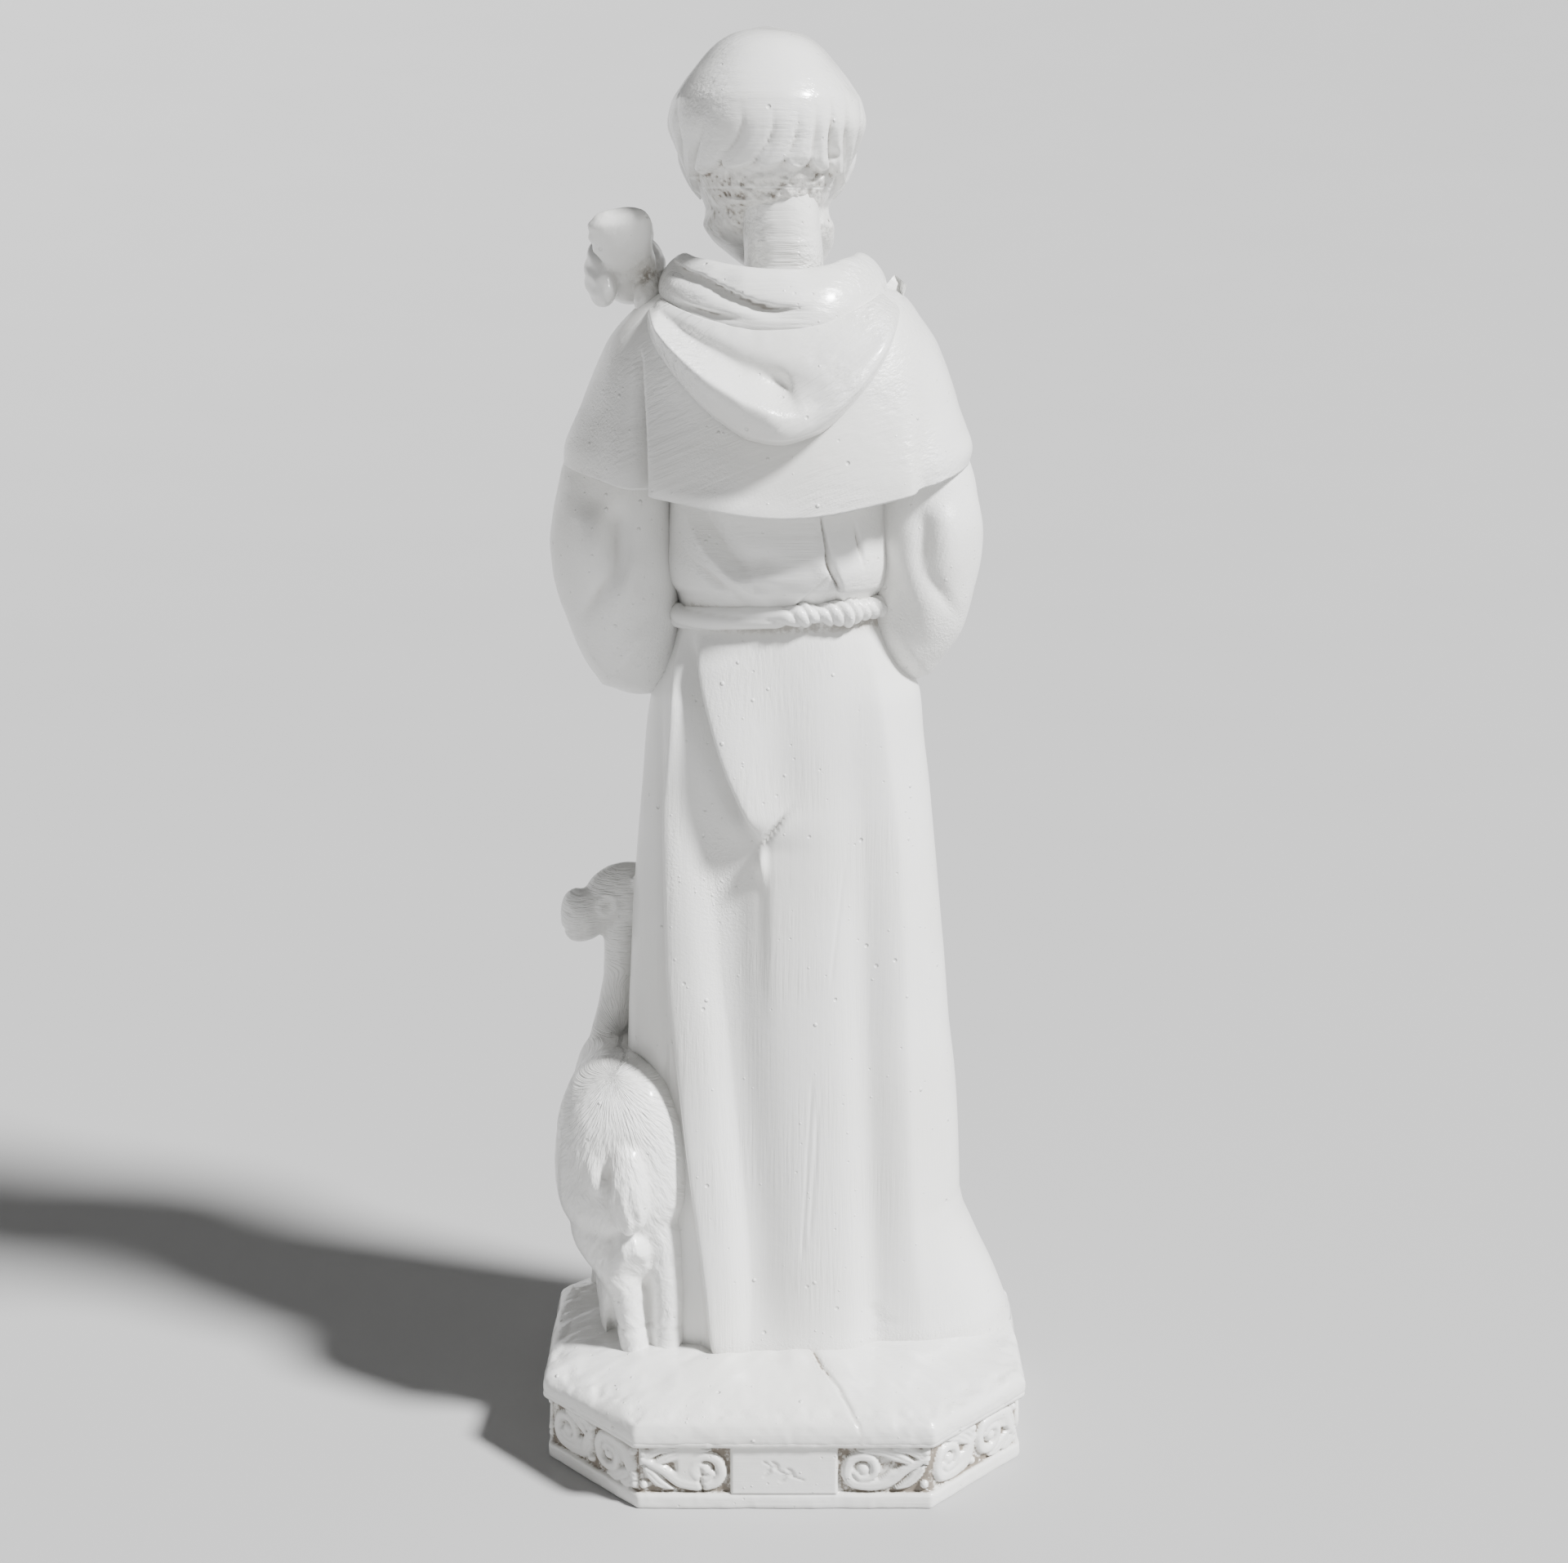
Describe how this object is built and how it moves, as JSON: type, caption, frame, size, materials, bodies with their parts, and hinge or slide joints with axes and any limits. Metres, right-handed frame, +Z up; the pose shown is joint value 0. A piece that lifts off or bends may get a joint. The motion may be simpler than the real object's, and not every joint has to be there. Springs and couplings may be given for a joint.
{
  "type": "saint francis statue",
  "caption": "Painted cast garden statue of a standing friar with a bird on the shoulder and a fawn at the side, on an eight-sided plinth with a scroll frieze.",
  "frame": {"origin": "middle of the plinth's underside", "axes": "+Z up the figure, -Y towards the figure's front, +X towards the figure's left, where the fawn stands"},
  "size_m": [0.214, 0.17, 0.6106],
  "materials": {
    "painted_cement": "off-white semi-gloss paint, brushed on, with dirt in the hollows"
  },
  "bodies": {
    "root": {"saint_francis_statue": "painted_cement"}
  },
  "joints": []
}
